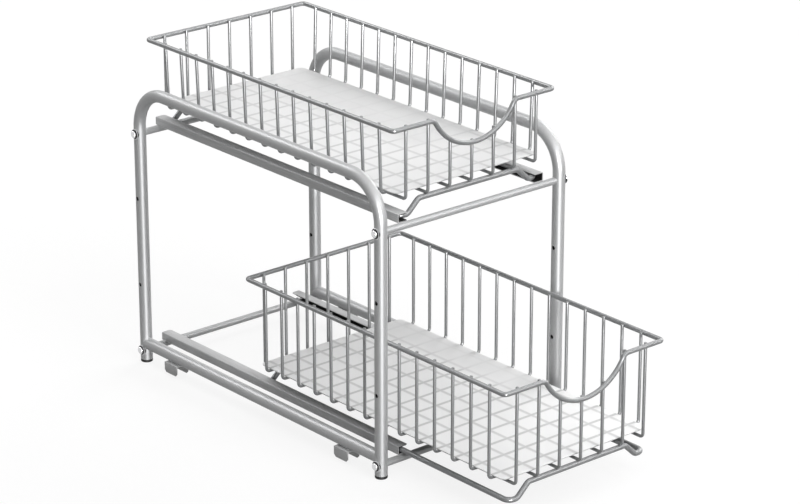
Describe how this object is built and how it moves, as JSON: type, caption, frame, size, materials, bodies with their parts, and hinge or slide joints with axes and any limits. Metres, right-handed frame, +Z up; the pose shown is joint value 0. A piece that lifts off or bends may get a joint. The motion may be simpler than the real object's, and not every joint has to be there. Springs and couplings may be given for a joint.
{
  "type": "pull out cabinet basket",
  "caption": "Two-tier under-sink organiser: wire baskets on wire carriages that slide in rails between two bent tube hoops, with stacking saddles below.",
  "frame": {"origin": "on the floor, under the middle of the product's bounding box as it stands here, with the upper drawer shut and the lower one 199 mm out", "axes": "+X to the right seen from the front, -Y towards the front where the baskets pull out, +Z up"},
  "size_m": [0.313, 0.696, 0.4435],
  "materials": {
    "frame_paint": "satin silver-grey powder coat",
    "rail_paint": "satin silver-grey powder coat on folded sheet",
    "wire_paint": "satin silver-grey powder coat on wire",
    "bolt_steel": "plated",
    "black_nylon": "matt black",
    "black_rubber": "matt black",
    "frosted_mat": "frosted translucent sheet"
  },
  "bodies": {
    "frame": {"left_hoop": "frame_paint", "right_hoop": "frame_paint", "left_base_tube": "frame_paint", "right_base_tube": "frame_paint", "lower_front_crossbar": "frame_paint", "lower_rear_crossbar": "frame_paint", "lower_left_rail": "rail_paint", "lower_left_rail_liner": "black_nylon", "lower_right_rail": "rail_paint", "lower_right_rail_liner": "black_nylon", "upper_front_crossbar": "frame_paint", "upper_rear_crossbar": "frame_paint", "upper_left_rail": "rail_paint", "upper_left_rail_liner": "black_nylon", "upper_right_rail": "rail_paint", "upper_right_rail_liner": "black_nylon", "left_front_foot": "black_rubber", "left_front_saddle": "rail_paint", "right_front_foot": "black_rubber", "right_front_saddle": "rail_paint", "left_rear_foot": "black_rubber", "left_rear_saddle": "rail_paint", "right_rear_foot": "black_rubber", "right_rear_saddle": "rail_paint", "crossbar_bolts": "bolt_steel"},
    "upper_drawer": {"upper_basket_rim": "wire_paint", "upper_cross_wires": "wire_paint", "upper_long_wires": "wire_paint", "upper_floor_mat": "frosted_mat", "upper_carriage_wire": "wire_paint"},
    "lower_drawer": {"lower_basket_rim": "wire_paint", "lower_cross_wires": "wire_paint", "lower_long_wires": "wire_paint", "lower_floor_mat": "frosted_mat", "lower_carriage_wire": "wire_paint"}
  },
  "joints": [
    {"name": "upper_drawer_slide", "type": "slide", "parent": "frame", "child": "upper_drawer", "axis": [0, -1, 0], "range_m": [0, 0.33]},
    {"name": "lower_drawer_slide", "type": "slide", "parent": "frame", "child": "lower_drawer", "axis": [0, -1, 0], "range_m": [-0.199, 0.131]}
  ]
}
